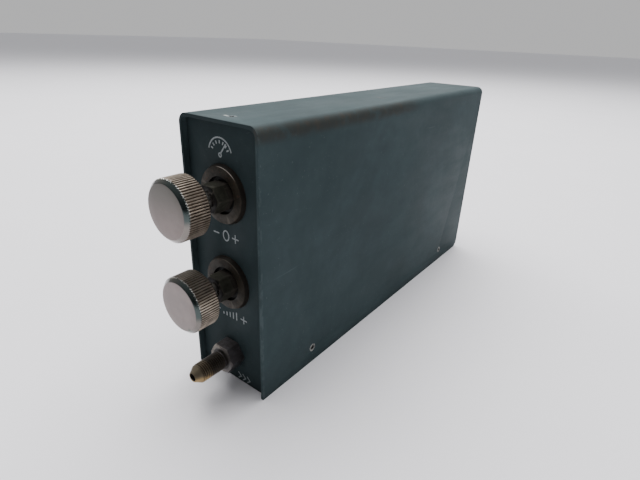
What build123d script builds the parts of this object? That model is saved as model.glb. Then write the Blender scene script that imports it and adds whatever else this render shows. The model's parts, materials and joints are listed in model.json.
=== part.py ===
from build123d import *
import os
from math import cos, pi, radians, sin

# A narrow pneumatic gauging module: a folded sheet-steel case with two multi-turn
# metering valves and a flared gauge port on its recessed front panel.
# Millimetres, +Z up, front towards -Y. The origin is the centre of the case's underside.

# ---- driving dimensions -------------------------------------------------------------
WIDTH = 47.5                # case, side to side
HEIGHT = 132.5              # case, the height of a three-unit rack module
DEPTH = 241.0               # case, front rim to rear rim
SHEET = 1.5                 # thickness of the folded sheet
BEND = 4.5                  # outer radius of the cover's two long bends
HEEL = 5.7                  # rounded lower rear corner of each side wall
RECESS = 2.85               # panels stand this far inside the rims
PANEL = 1.6                 # thickness of the front and rear panels
FIT_GAP = 0.05              # sheet parts stand this far apart

ZERO_Z = 100.2              # heights of the three axes on the front panel
HEAD_Z = 56.7
PORT_Z = 16.1

KNOB_R = 13.1               # knurled knobs
KNOB_LENGTH = 11.6
KNOB_CHAMFER = 1.7
KNOB_BORE_DEPTH = 8.0
STEM_R = 3.175              # 1/4-32 stem thread
LEAD = 0.794                # stem travel for one turn
RUN = 0.05                  # radial running clearance
ZERO_TURNS_OPEN = 3.0       # as the two valves stand at rest
HEAD_TURNS_OPEN = 1.5
KNOB_BACK_SHUT = 15.58      # knob's back face to the panel with the valve shut

RING_R = 13.45              # dress ring around each bonnet
RING_T = 2.4
RING_BEVEL = 0.75           # its long outer bevel, radially
RING_BEVEL_LENGTH = 1.9
RING_RECESS_R = 8.35
RING_FLOOR = 0.7
BONNET_AF = 12.0            # long hexagon gland nut
BONNET_END = 9.45
NECK_R = 4.7
NECK_END = 5.5
PACKING_T = 1.5
BODY_SIDE = 20.0            # square valve body
BODY_LENGTH = 30.0
SEAT_R = 5.0
SEAT_LENGTH = 8.0
GUIDE_SIDE = 6.6            # square guide that keeps the needle from turning
GUIDE_LENGTH = 12.0
COLLAR_SIDE = 6.35
PORT_BACK = 11.0            # cross port, ahead of the body's rear face

THREAD_R = 4.76             # 3/8-24 flare thread
PORT_HEX_AF = 14.3
PORT_HEX_T = 7.8
NOSE_START = 22.25
NOSE_END = 25.4
NOSE_R = 2.4
PASSAGE_R = 1.9
LOCKNUT_T = 5.0
TAIL = 20.0                 # length of a bulkhead fitting inside its panel

TUBE_R = 2.0
TUBE_WALL = 0.75
TUBE_BEND = 8.0

SCREW_Z = 9.4               # cover screws
SCREW_INSET = 38.3
SCREW_R = 1.5
SCREW_HEAD_R = 2.35
SCREW_CONE = 0.95
TOP_SCREW_INSET = 8.9

# ---- places worked out from them ----------------------------------------------------
FRONT = -DEPTH / 2
REAR = DEPTH / 2
PANEL_FACE = FRONT + RECESS
PANEL_BACK = PANEL_FACE + PANEL
REAR_FACE = REAR - RECESS
REAR_INNER = REAR_FACE - PANEL
INNER_X = WIDTH / 2 - SHEET - FIT_GAP
INNER_TOP = HEIGHT - SHEET - FIT_GAP
BODY_REAR = PANEL_BACK + BODY_LENGTH
SEAT_FACE = BODY_REAR - SEAT_LENGTH
PORT_Y = BODY_REAR - PORT_BACK
TRAY_TOP = SHEET

MANIFOLD_FRONT = -58.0
MANIFOLD_REAR = -22.0
MANIFOLD_X = 13.0
MANIFOLD_TOP = 44.0
SENSOR_Y = -32.0
RETURN_Y = -48.0
FEED_Z = 34.0

BOARD_X = -15.0             # face of the board that the standoffs meet
BOARD_T = 1.6
BOARD_Y = (-2.0, 72.0)
BOARD_Z = (24.0, 108.0)
BRACKET_X = -20.55
BRACKET_T = 1.2
STANDOFF_R = 2.6
CONNECTOR_Z = 60.0
HEADER_X = BOARD_X + BOARD_T + 3.0
SENSOR_HEADER = (8, 92)     # board headers, (y, z)
OUTPUT_HEADER = (61, CONNECTOR_Z)

os.makedirs("parts", exist_ok=True)


def save(piece, name):
    """Label a finished piece and write it to its own file."""
    piece.part.label = name
    export_step(piece.part, f"parts/{name}.step")


def along_y(x, z, y=0.0):
    """Sketch plane across a front-to-back axis: local x is +X, local y is +Z."""
    return Plane(origin=(x, y, z), x_dir=(1, 0, 0), z_dir=(0, -1, 0))


def turned(profile, x, z):
    """Solid turned about the front-to-back axis at (x, z); profile points are (y, radius)."""
    with BuildPart() as piece:
        with BuildSketch(Plane(origin=(x, 0, z), x_dir=(0, 1, 0), z_dir=(1, 0, 0))):
            with BuildLine():
                Polyline(*profile, close=True)
            make_face()
        revolve(axis=Axis((x, 0, z), (0, 1, 0)))
    return piece


def hexagon_radius(across_flats):
    return across_flats / 2 / cos(pi / 6)


def hex_nut(across_flats, y_ends, bore_r, x, z, chamfer_r):
    """Hexagon nut on a front-to-back axis, with its corners turned down at both ends."""
    low, high = sorted(y_ends)
    corner = hexagon_radius(across_flats)
    slope = (corner - chamfer_r) * 0.6
    outline = [(low, 0), (low, chamfer_r), (low + slope, corner), (high - slope, corner),
               (high, chamfer_r), (high, 0)]
    with BuildPart() as nut:
        with BuildSketch(along_y(x, z, high)):
            RegularPolygon(corner, 6)
        extrude(amount=high - low)
        with BuildSketch(Plane(origin=(x, 0, z), x_dir=(0, 1, 0), z_dir=(1, 0, 0))):
            with BuildLine():
                Polyline(*outline, close=True)
            make_face()
        revolve(axis=Axis((x, 0, z), (0, 1, 0)), mode=Mode.INTERSECT)
        with BuildSketch(along_y(x, z, high)):
            Circle(bore_r)
        extrude(amount=high - low, mode=Mode.SUBTRACT)
    return nut


# ---- case ---------------------------------------------------------------------------
def case_section(half_width, top, radius):
    """Closed outline of the case seen from the front, with its two upper corners rounded."""
    with BuildSketch() as section:
        with BuildLine():
            FilletPolyline((half_width, 0), (half_width, top), (-half_width, top),
                           (-half_width, 0), radius=radius)
            Line((-half_width, 0), (half_width, 0))
        make_face()
    return section.sketch


def cover():
    """Top and two sides folded from one sheet, with countersunk holes for its screws."""
    with BuildPart() as shell:
        with BuildSketch(along_y(0, 0, REAR)):
            add(case_section(WIDTH / 2, HEIGHT, BEND))
        extrude(amount=DEPTH)
        with BuildSketch(along_y(0, 0, REAR)):
            add(case_section(WIDTH / 2 - SHEET, HEIGHT - SHEET, BEND - SHEET))
        extrude(amount=DEPTH, mode=Mode.SUBTRACT)
        heels = shell.edges().filter_by(Axis.X).filter_by_position(Axis.Z, -0.01, 0.01)
        fillet(heels.filter_by_position(Axis.Y, REAR - 0.01, REAR + 0.01), HEEL)
        for side in (-1, 1):
            for y in (FRONT + SCREW_INSET, REAR - SCREW_INSET):
                wall = Plane(origin=(side * WIDTH / 2, y, SCREW_Z), z_dir=(side, 0, 0))
                with Locations(wall):
                    CounterSinkHole(SCREW_R + FIT_GAP, SCREW_HEAD_R, SHEET, 82)
        with Locations((0, FRONT + TOP_SCREW_INSET, HEIGHT)):
            CounterSinkHole(SCREW_R + FIT_GAP, SCREW_HEAD_R, SHEET, 82)
    return shell


def tray():
    """Bottom plate with low flanges turned up on all four sides."""
    inner_front, inner_rear = PANEL_BACK, REAR_INNER
    length = inner_rear - inner_front
    with BuildPart() as plate:
        with BuildSketch(Plane.XY):
            Rectangle(2 * INNER_X, length)
        extrude(amount=SHEET)
        with BuildSketch(Plane.XY.offset(SHEET)):
            for side in (-1, 1):
                with Locations((side * (INNER_X - SHEET / 2), 0)):
                    Rectangle(SHEET, length - 2 * HEEL)
        extrude(amount=15.0)
        with BuildSketch(Plane.XY.offset(SHEET)):
            for end in (-1, 1):
                with Locations((0, end * (length / 2 - SHEET / 2))):
                    Rectangle(2 * INNER_X - 8, SHEET)
        extrude(amount=4.5)
        for side in (-1, 1):
            for y in (FRONT + SCREW_INSET, REAR - SCREW_INSET):
                wall = Plane(origin=(side * INNER_X, y, SCREW_Z), z_dir=(side, 0, 0))
                with Locations(wall):
                    Hole(SCREW_R, SHEET)
        with Locations(*[Plane(origin=(x, y, 0), z_dir=(0, 0, -1)) for x, y in tray_screws()]):
            CounterSinkHole(SCREW_R, SCREW_HEAD_R, SHEET, 82)
    return plate


def tray_screws():
    """Places of the screws that hold the manifold and the board bracket down."""
    manifold_middle = (MANIFOLD_FRONT + MANIFOLD_REAR) / 2
    board_middle = sum(BOARD_Y) / 2
    return [(-8, manifold_middle), (8, manifold_middle),
            (-13, board_middle - 24), (-13, board_middle + 24)]


def panel(y_face, holes):
    """Flat end panel whose upper corners follow the cover's bends; holes are (z, radius)."""
    back = y_face + PANEL
    with BuildPart() as plate:
        with BuildSketch(along_y(0, 0, back)):
            add(case_section(INNER_X, INNER_TOP, BEND - SHEET))
            for z, radius in holes:
                with Locations((0, z)):
                    Circle(radius, mode=Mode.SUBTRACT)
        extrude(amount=PANEL)
    return plate


def top_bracket():
    """Angle behind the front panel that takes the cover's top screw."""
    with BuildPart() as angle:
        with BuildSketch(Plane.XY.offset(INNER_TOP - 2.2)):
            with Locations((0, PANEL_BACK + 6)):
                Rectangle(18, 12)
        extrude(amount=2.2)
        with BuildSketch(Plane.XY.offset(INNER_TOP - 12)):
            with Locations((0, PANEL_BACK + SHEET / 2)):
                Rectangle(18, SHEET)
        extrude(amount=9.8)
        with Locations((0, FRONT + TOP_SCREW_INSET, INNER_TOP)):
            Hole(SCREW_R, 2.2)
    return angle


def countersunk_screw(plane, length):
    """Flush slotted screw whose head lies in the given plane, pointing away from it."""
    with BuildPart() as screw:
        with BuildSketch(Plane(origin=plane.origin, x_dir=plane.x_dir, z_dir=-plane.y_dir)):
            with BuildLine():
                Polyline((0, 0), (SCREW_HEAD_R - 0.05, 0), (SCREW_R, -SCREW_CONE),
                         (SCREW_R, -length), (0, -length), close=True)
            make_face()
        revolve(axis=Axis(plane.origin, plane.z_dir))
        with BuildSketch(plane):
            Rectangle(2.8, 0.7)
            Rectangle(0.7, 2.8)
        extrude(amount=-0.7, mode=Mode.SUBTRACT)
    return screw


def upright_plane(origin, normal):
    """Plane whose sketch directions are chosen the same way for every screw."""
    along = (0, 1, 0) if abs(normal[1]) < 0.5 else (1, 0, 0)
    return Plane(origin=origin, x_dir=along, z_dir=normal)


def group(pieces):
    """Several loose solids of one kind, kept as one part."""
    with BuildPart() as together:
        for piece in pieces:
            add(piece.part)
    return together


def cover_screws():
    screws = []
    for side in (-1, 1):
        for y in (FRONT + SCREW_INSET, REAR - SCREW_INSET):
            place = upright_plane((side * WIDTH / 2, y, SCREW_Z), (side, 0, 0))
            screws.append(countersunk_screw(place, 6.5))
    top = upright_plane((0, FRONT + TOP_SCREW_INSET, HEIGHT), (0, 0, 1))
    screws.append(countersunk_screw(top, 3.7))
    return group(screws)


def floor_screws():
    return group([countersunk_screw(upright_plane((x, y, 0), (0, 0, -1)), 6.0)
                  for x, y in tray_screws()])


def clinch_nuts():
    """Round nuts pressed into the tray's flanges and into the bracket's foot."""
    nuts = []
    for side in (-1, 1):
        for y in (FRONT + SCREW_INSET, REAR - SCREW_INSET):
            with BuildPart() as nut:
                with BuildSketch(Plane(origin=(side * (INNER_X - SHEET), y, SCREW_Z),
                                       z_dir=(-side, 0, 0))):
                    Circle(3.2)
                    Circle(SCREW_R, mode=Mode.SUBTRACT)
                extrude(amount=3.5)
            nuts.append(nut)
    for x, y in tray_screws()[2:]:
        with BuildPart() as nut:
            with BuildSketch(Plane.XY.offset(TRAY_TOP + BRACKET_T)):
                with Locations((x, y)):
                    Circle(3.2)
                    Circle(SCREW_R, mode=Mode.SUBTRACT)
            extrude(amount=3.5)
        nuts.append(nut)
    return group(nuts)


# ---- metering valves ----------------------------------------------------------------
def dress_ring(z):
    front = PANEL_FACE - RING_T
    floor = PANEL_FACE - RING_FLOOR
    return turned([(PANEL_FACE, NECK_R + 0.2), (PANEL_FACE, RING_R),
                   (front + RING_BEVEL_LENGTH, RING_R), (front, RING_R - RING_BEVEL),
                   (front, RING_RECESS_R + 0.3),
                   (front + 0.3, RING_RECESS_R), (floor, RING_RECESS_R),
                   (floor, NECK_R + 0.2)], 0, z)


def bonnet_nut(z):
    """Long gland nut: it clamps the dress ring and squeezes the packing on the stem."""
    back = PANEL_FACE - RING_FLOOR
    front = PANEL_FACE - BONNET_END
    nut = hex_nut(BONNET_AF, (front, back), STEM_R + 0.15, 0, z, BONNET_AF / 2 - 0.1)
    with BuildPart() as bonnet:
        add(nut.part)
        with BuildSketch(along_y(0, z, back)):
            Circle(NECK_R)
        extrude(amount=NECK_END + PACKING_T - RING_FLOOR, mode=Mode.SUBTRACT)
    return bonnet


def packing(z):
    low = PANEL_FACE - NECK_END - PACKING_T
    high = PANEL_FACE - NECK_END
    return turned([(low, STEM_R + RUN), (low, NECK_R), (high, NECK_R),
                   (high, STEM_R + RUN)], 0, z)


def valve_body(z, port_sides):
    """Square brass body with a threaded neck; port_sides are +1 upward or -1 downward."""
    with BuildPart() as body:
        with BuildSketch(along_y(0, z, BODY_REAR)):
            RectangleRounded(BODY_SIDE, BODY_SIDE, 1.0)
        extrude(amount=BODY_LENGTH)
        with BuildSketch(along_y(0, z, PANEL_BACK)):
            Circle(NECK_R)
        extrude(amount=PANEL + NECK_END)
        with BuildSketch(along_y(0, z, SEAT_FACE - GUIDE_LENGTH)):
            Circle(STEM_R + RUN)
        extrude(amount=BODY_LENGTH + PANEL + NECK_END, mode=Mode.SUBTRACT)
        with BuildSketch(along_y(0, z, SEAT_FACE)):
            Rectangle(GUIDE_SIDE, GUIDE_SIDE)
        extrude(amount=GUIDE_LENGTH, mode=Mode.SUBTRACT)
        with BuildSketch(along_y(0, z, BODY_REAR)):
            Circle(SEAT_R)
        extrude(amount=SEAT_LENGTH, mode=Mode.SUBTRACT)
        for side in port_sides:
            with BuildSketch(Plane(origin=(0, PORT_Y, z), z_dir=(0, 0, side))):
                Circle(TUBE_R)
            extrude(amount=BODY_SIDE / 2, mode=Mode.SUBTRACT)
    return body


def valve_seat(z):
    """Seat screwed in from the rear: a small orifice, then the socket of the outlet tube."""
    return turned([(SEAT_FACE, 1.0), (SEAT_FACE, SEAT_R), (BODY_REAR, SEAT_R),
                   (BODY_REAR, TUBE_R), (BODY_REAR - 5, TUBE_R), (BODY_REAR - 5, 1.0)], 0, z)


def needle(z, travel):
    """Tapered needle with a square collar; it slides without turning."""
    taper, tip_r, base_r, shut_r = 0.25, 0.2, 1.6, 0.9
    base = SEAT_FACE - (base_r - shut_r) / taper - travel
    tip = SEAT_FACE + (shut_r - tip_r) / taper - travel
    collar_rear = base - 0.7
    collar_front = collar_rear - 3.0
    groove = collar_front - 3.5
    shank = collar_front - 6.0
    with BuildPart() as piece:
        with BuildSketch(Plane(origin=(0, 0, z), x_dir=(0, 1, 0), z_dir=(1, 0, 0))):
            with BuildLine():
                Polyline((shank, 0), (shank, 1.5), (groove - 0.6, 1.5), (groove - 0.6, 0.95),
                         (groove + 0.6, 0.95), (groove + 0.6, 1.5), (collar_front, 1.5),
                         (collar_rear, 1.5), (collar_rear, base_r), (base, base_r),
                         (tip, tip_r), (tip, 0), close=True)
            make_face()
        revolve(axis=Axis((0, 0, z), (0, 1, 0)))
        with BuildSketch(along_y(0, z, collar_rear)):
            Rectangle(COLLAR_SIDE, COLLAR_SIDE)
        extrude(amount=3.0)
    return piece


def stem_end(travel):
    """Inner end face of the stem, just ahead of the needle's collar."""
    return SEAT_FACE - 2.8 - 0.7 - 3.0 - 0.1 - travel


def stem(z, travel):
    """Threaded stem; its inner end is drilled for the needle's shank and cross-drilled."""
    inner = stem_end(travel)
    outer = PANEL_FACE - KNOB_BACK_SHUT - KNOB_BORE_DEPTH - travel
    with BuildPart() as rod:
        with BuildSketch(along_y(0, z, inner)):
            Circle(STEM_R)
        extrude(amount=inner - outer)
        chamfer(rod.edges().filter_by(GeomType.CIRCLE).sort_by(Axis.Y)[0], 0.4)
        with BuildSketch(along_y(0, z, inner)):
            Circle(1.6)
        extrude(amount=6.5, mode=Mode.SUBTRACT)
        with BuildSketch(Plane.XY.offset(z)):
            with Locations((1.5, inner - 3.4)):
                Circle(0.45)
        extrude(amount=STEM_R, both=True, mode=Mode.SUBTRACT)
    return rod


def needle_pin(z, travel):
    """Cross pin in the stem that runs in the needle's groove and holds the needle on."""
    with BuildPart() as pin:
        with BuildSketch(Plane.XY.offset(z)):
            with Locations((1.5, stem_end(travel) - 3.4)):
                Circle(0.45)
        extrude(amount=2.4, both=True)
    return pin


def knob(z, travel):
    """Metal knob with a chamfered front rim and a cross-drilled hole for its set screw."""
    back = PANEL_FACE - KNOB_BACK_SHUT - travel
    front = back - KNOB_LENGTH
    blind = back - KNOB_BORE_DEPTH
    body = turned([(back, STEM_R), (back, KNOB_R - 0.6), (back - 0.6, KNOB_R),
                   (front + KNOB_CHAMFER, KNOB_R), (front, KNOB_R - KNOB_CHAMFER), (front, 0),
                   (blind, 0), (blind, STEM_R)], 0, z)
    with BuildPart() as piece:
        add(body.part)
        with BuildSketch(set_screw_plane(z, travel)):
            Circle(SCREW_R)
        extrude(amount=KNOB_R, mode=Mode.SUBTRACT)
    return piece


def set_screw_plane(z, travel):
    """Plane on the stem's surface, facing out along the set screw, down and to the left."""
    y = PANEL_FACE - KNOB_BACK_SHUT - travel - 4.6
    out = (cos(radians(215)), 0, sin(radians(215)))
    return Plane(origin=(STEM_R * out[0], y, z + STEM_R * out[2]), x_dir=(0, 1, 0), z_dir=out)


def set_screw(z, travel):
    place = set_screw_plane(z, travel)
    with BuildPart() as screw:
        with BuildSketch(place):
            Circle(SCREW_R)
        extrude(amount=8.0)
        with BuildSketch(place.offset(8.0)):
            RegularPolygon(0.85, 6)
        extrude(amount=-1.8, mode=Mode.SUBTRACT)
        # the point follows the stem's curve
        with BuildSketch(along_y(0, z, PANEL_BACK)):
            Circle(STEM_R)
        extrude(amount=60, mode=Mode.SUBTRACT)
    return screw


def build_valve(name, z, turns_open, port_sides):
    travel = turns_open * LEAD
    save(dress_ring(z), f"{name}_dress_ring")
    save(bonnet_nut(z), f"{name}_bonnet_nut")
    save(packing(z), f"{name}_stem_packing")
    save(valve_body(z, port_sides), f"{name}_valve_body")
    save(valve_seat(z), f"{name}_valve_seat")
    save(needle(z, travel), f"{name}_needle")
    save(stem(z, travel), f"{name}_stem")
    save(needle_pin(z, travel), f"{name}_needle_pin")
    save(knob(z, travel), f"{name}_knob")
    save(set_screw(z, travel), f"{name}_knob_set_screw")


# ---- ports --------------------------------------------------------------------------
def bulkhead_fitting(face, out, z):
    """Flare fitting through a panel; out is -1 towards the front or +1 towards the rear."""
    hex_end = face + out * PORT_HEX_T
    tail = face - out * TAIL
    body = hex_nut(PORT_HEX_AF, (face, hex_end), PASSAGE_R, 0, z, PORT_HEX_AF / 2 + 0.35)
    neck = hex_end + out * 1.3
    shank = turned([(hex_end, PASSAGE_R), (hex_end, THREAD_R - 0.7), (neck, THREAD_R - 0.7),
                    (neck, THREAD_R), (face + out * NOSE_START, THREAD_R),
                    (face + out * NOSE_END, NOSE_R), (face + out * NOSE_END, PASSAGE_R)], 0, z)
    inner = turned([(face, PASSAGE_R), (face, THREAD_R), (tail, THREAD_R), (tail, TUBE_R),
                    (tail + out * 6, TUBE_R), (tail + out * 6, PASSAGE_R)], 0, z)
    with BuildPart() as fitting:
        add(body.part)
        add(shank.part)
        add(inner.part)
    return fitting


def lock_nut(inner_face, out, z):
    return hex_nut(PORT_HEX_AF, (inner_face, inner_face - out * LOCKNUT_T), THREAD_R, 0, z,
                   PORT_HEX_AF / 2)


def muffler():
    """Sintered silencer on a hexagon base, screwed into the rear panel's exhaust bush."""
    z = ZERO_Z
    base = hex_nut(11.0, (REAR_FACE, REAR_FACE + 4.5), 1.2, 0, z, 5.6)
    dome = REAR_FACE + 15.5
    body = turned([(REAR_FACE + 4.5, 1.2), (REAR_FACE + 4.5, 4.5), (dome - 2.0, 4.5),
                   (dome - 0.6, 3.7), (dome, 2.2), (dome, 0), (dome - 2.5, 0),
                   (dome - 2.5, 1.2)], 0, z)
    shank = turned([(REAR_FACE, 1.2), (REAR_FACE, NECK_R), (REAR_INNER - 9, NECK_R),
                    (REAR_INNER - 9, TUBE_R), (REAR_INNER - 4, TUBE_R),
                    (REAR_INNER - 4, 1.2)], 0, z)
    with BuildPart() as piece:
        add(base.part)
        add(body.part)
        add(shank.part)
    return piece


def connector_shell():
    """Round panel socket: a flange and an open shell outside, a barrel inside."""
    y = REAR_FACE
    return turned([(y - PANEL, 6.9), (y, 6.9), (y, 10.0), (y + 1.6, 10.0), (y + 1.6, 7.9),
                   (y + 8.5, 7.9), (y + 9.0, 7.4), (y + 9.0, 6.6), (y - 11, 6.6),
                   (y - 11, 7.9), (y - PANEL, 7.9)], 0, CONNECTOR_Z)


def contact_places():
    return [(3.6 * cos(radians(a)), CONNECTOR_Z + 3.6 * sin(radians(a)))
            for a in (90, 162, 234, 306, 18)]


def connector_insert():
    y = REAR_FACE
    with BuildPart() as piece:
        with BuildSketch(along_y(0, CONNECTOR_Z, y + 2.5)):
            Circle(6.6)
        extrude(amount=13.5)
        for x, z in contact_places():
            with BuildSketch(along_y(x, z, y + 2.5)):
                Circle(0.75)
            extrude(amount=13.5, mode=Mode.SUBTRACT)
    return piece


def connector_pins():
    y = REAR_FACE
    with BuildPart() as pins:
        for x, z in contact_places():
            with BuildSketch(along_y(x, z, y + 7.5)):
                Circle(0.75)
            extrude(amount=18.5)
    return pins


def connector_boot():
    """Moulded boot over the socket's solder tails, where the inner cable enters."""
    y = REAR_FACE - 11
    return turned([(y, 0), (y, 6.2), (y - 4, 6.2), (y - 8, 3.0), (y - 8, 0)], 0, CONNECTOR_Z)


# ---- air circuit --------------------------------------------------------------------
def manifold():
    """Drilled block: supply in at the rear, two ports in front, two on top."""
    length = MANIFOLD_REAR - MANIFOLD_FRONT
    middle = (MANIFOLD_FRONT + MANIFOLD_REAR) / 2
    with BuildPart() as block:
        with BuildSketch(Plane.XY.offset(TRAY_TOP)):
            with Locations((0, middle)):
                Rectangle(2 * MANIFOLD_X, length)
        extrude(amount=MANIFOLD_TOP - TRAY_TOP)
        chamfer(block.edges().filter_by(Axis.Z), 1.0)
        for z in (PORT_Z, FEED_Z):
            with BuildSketch(along_y(0, z, MANIFOLD_FRONT + 8)):
                Circle(TUBE_R)
            extrude(amount=8, mode=Mode.SUBTRACT)
            with BuildSketch(along_y(0, z, MANIFOLD_FRONT + 24)):
                Circle(1.4)
            extrude(amount=16, mode=Mode.SUBTRACT)
        with BuildSketch(along_y(0, PORT_Z, MANIFOLD_REAR)):
            Circle(TUBE_R)
        extrude(amount=8, mode=Mode.SUBTRACT)
        with BuildSketch(along_y(0, PORT_Z, MANIFOLD_REAR - 8)):
            Circle(1.8)
        extrude(amount=4, mode=Mode.SUBTRACT)
        with BuildSketch(Plane.XY.offset(MANIFOLD_TOP)):
            with Locations((0, RETURN_Y)):
                Circle(TUBE_R)
            with Locations((0, SENSOR_Y)):
                Circle(4.0)
        extrude(amount=-8, mode=Mode.SUBTRACT)
        with BuildSketch(Plane.XY.offset(TRAY_TOP)):
            with Locations(*tray_screws()[:2]):
                Circle(SCREW_R)
        extrude(amount=5, mode=Mode.SUBTRACT)
    return block


def restrictor():
    """Fixed jet pressed into the manifold's supply port."""
    low, high = MANIFOLD_REAR - 12, MANIFOLD_REAR - 8
    return turned([(low, 0.35), (low, 1.8), (high, 1.8), (high, 0.35)], 0, PORT_Z)


def filter_disc():
    """Sintered disc at the bottom of the supply socket, ahead of the jet."""
    low, high = MANIFOLD_REAR - 8, MANIFOLD_REAR - 6.5
    return turned([(low, 0), (low, TUBE_R), (high, TUBE_R), (high, 0)], 0, PORT_Z)


def tube(points, bend=TUBE_BEND):
    """Thin-walled tube along straight runs joined by arcs; prints its length for checking."""
    start, towards = Vector(*points[0]), Vector(*points[1])
    with BuildPart() as pipe:
        with BuildLine() as path:
            if len(points) == 2:
                Line(*points)
            else:
                FilletPolyline(*points, radius=bend)
        with BuildSketch(Plane(origin=start, z_dir=towards - start)):
            Circle(TUBE_R)
            Circle(TUBE_R - TUBE_WALL, mode=Mode.SUBTRACT)
        sweep(path=path.wires()[0])
    length = sum(edge.length for edge in path.edges())
    section = pi * (TUBE_R ** 2 - (TUBE_R - TUBE_WALL) ** 2)
    print("tube length", round(length, 1),
          "volume ratio", round(pipe.part.volume / section / length, 4))
    return pipe


def cable(points, radius, bend):
    """Round cable along straight runs joined by arcs."""
    start, towards = Vector(*points[0]), Vector(*points[1])
    with BuildPart() as lead:
        with BuildLine() as path:
            FilletPolyline(*points, radius=bend)
        with BuildSketch(Plane(origin=start, z_dir=towards - start)):
            Circle(radius)
        sweep(path=path.wires()[0])
    return lead


def sensor():
    """Pressure sensor: threaded spigot, hexagon base and a crimped can."""
    with BuildPart() as can:
        with BuildSketch(Plane.XY.offset(MANIFOLD_TOP)):
            with Locations((0, SENSOR_Y)):
                RegularPolygon(hexagon_radius(17.5), 6)
        extrude(amount=6)
        with BuildSketch(Plane.XY.offset(MANIFOLD_TOP - 7)):
            with Locations((0, SENSOR_Y)):
                Circle(4.0)
        extrude(amount=7)
        with BuildSketch(Plane.XY.offset(MANIFOLD_TOP + 6)):
            with Locations((0, SENSOR_Y)):
                Circle(8.2)
        extrude(amount=26)
        chamfer(can.faces().sort_by(Axis.Z)[-1].edges(), 1.0)
    return can


def sensor_plug():
    """Moulded plug where the cable leaves the sensor."""
    with BuildPart() as boot:
        with BuildSketch(Plane.XY.offset(MANIFOLD_TOP + 32)):
            with Locations((0, SENSOR_Y)):
                Circle(4.5)
        extrude(amount=5)
        fillet(boot.faces().sort_by(Axis.Z)[-1].edges(), 1.2)
    return boot


# ---- circuit board ------------------------------------------------------------------
def board_holes():
    return [(y, z) for y in (BOARD_Y[0] + 5, BOARD_Y[1] - 5)
            for z in (BOARD_Z[0] + 5, BOARD_Z[1] - 5)]


def side_plane(x):
    """Sketch plane parallel to the side walls: local x is +Y, local y is +Z."""
    return Plane(origin=(x, 0, 0), x_dir=(0, 1, 0), z_dir=(1, 0, 0))


def board_bracket():
    """Upright plate with a foot screwed to the tray."""
    middle = sum(BOARD_Y) / 2
    length = BOARD_Y[1] - BOARD_Y[0]
    with BuildPart() as plate:
        with BuildSketch(side_plane(BRACKET_X)):
            with Locations((middle, (TRAY_TOP + BOARD_Z[1]) / 2)):
                Rectangle(length, BOARD_Z[1] - TRAY_TOP)
            with Locations((middle, sum(BOARD_Z) / 2)):
                RectangleRounded(length - 24, 50, 4, mode=Mode.SUBTRACT)
            with Locations(*board_holes()):
                Circle(SCREW_R, mode=Mode.SUBTRACT)
        extrude(amount=BRACKET_T)
        with BuildSketch(Plane.XY.offset(TRAY_TOP)):
            with Locations((BRACKET_X + BRACKET_T + 6, middle)):
                Rectangle(12, length)
            with Locations(*tray_screws()[2:]):
                Circle(SCREW_R, mode=Mode.SUBTRACT)
        extrude(amount=BRACKET_T)
    return plate


def standoffs():
    start = BRACKET_X + BRACKET_T
    with BuildPart() as posts:
        for y, z in board_holes():
            with BuildSketch(side_plane(start)):
                with Locations((y, z)):
                    RegularPolygon(hexagon_radius(2 * STANDOFF_R), 6)
                    Circle(SCREW_R, mode=Mode.SUBTRACT)
            extrude(amount=BOARD_X - start)
    return posts


def circuit_board():
    with BuildPart() as board:
        with BuildSketch(side_plane(BOARD_X)):
            with Locations((sum(BOARD_Y) / 2, sum(BOARD_Z) / 2)):
                Rectangle(BOARD_Y[1] - BOARD_Y[0], BOARD_Z[1] - BOARD_Z[0])
            with Locations(*board_holes()):
                Circle(SCREW_R, mode=Mode.SUBTRACT)
        extrude(amount=BOARD_T)
    return board


def board_screws():
    screws = []
    for y, z in board_holes():
        face = BOARD_X + BOARD_T
        with BuildPart() as screw:
            with BuildSketch(side_plane(face)):
                with Locations((y, z)):
                    Circle(2.7)
            extrude(amount=1.8)
            fillet(screw.faces().sort_by(Axis.X)[-1].edges(), 0.6)
            with BuildSketch(side_plane(face)):
                with Locations((y, z)):
                    Circle(SCREW_R)
            extrude(amount=-6.5)
            with BuildSketch(side_plane(face + 1.8)):
                with Locations((y, z)):
                    Rectangle(3.2, 0.7)
                    Rectangle(0.7, 3.2)
            extrude(amount=-0.9, mode=Mode.SUBTRACT)
        screws.append(screw)
    return group(screws)


def board_capacitors():
    face = BOARD_X + BOARD_T
    cans = []
    for y, z, radius, height in ((56, 88, 4.0, 11), (45, 88, 4.0, 11), (22, 38, 5.0, 9)):
        with BuildPart() as can:
            with BuildSketch(side_plane(face)):
                with Locations((y, z)):
                    Circle(radius)
            extrude(amount=height)
            fillet(can.faces().sort_by(Axis.X)[-1].edges(), 0.5)
        cans.append(can)
    return group(cans)


def board_chips():
    with BuildPart() as chips:
        with BuildSketch(side_plane(BOARD_X + BOARD_T)):
            with Locations((14, 66), (30, 66), (38, 46)):
                Rectangle(6.4, 19)
        extrude(amount=3.4)
        chamfer(chips.edges().filter_by(Axis.Z), 0.5)
    return chips


def board_trimmers():
    with BuildPart() as trimmers:
        with BuildSketch(side_plane(BOARD_X + BOARD_T)):
            with Locations((23, 92), (35, 92)):
                Rectangle(9.5, 5)
        extrude(amount=6.5)
    return trimmers


def header(y, z):
    """Board header that takes a cable end."""
    with BuildPart() as block:
        with BuildSketch(side_plane(BOARD_X + BOARD_T)):
            with Locations((y, z)):
                Rectangle(10, 12)
        extrude(amount=6)
    return block


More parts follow.
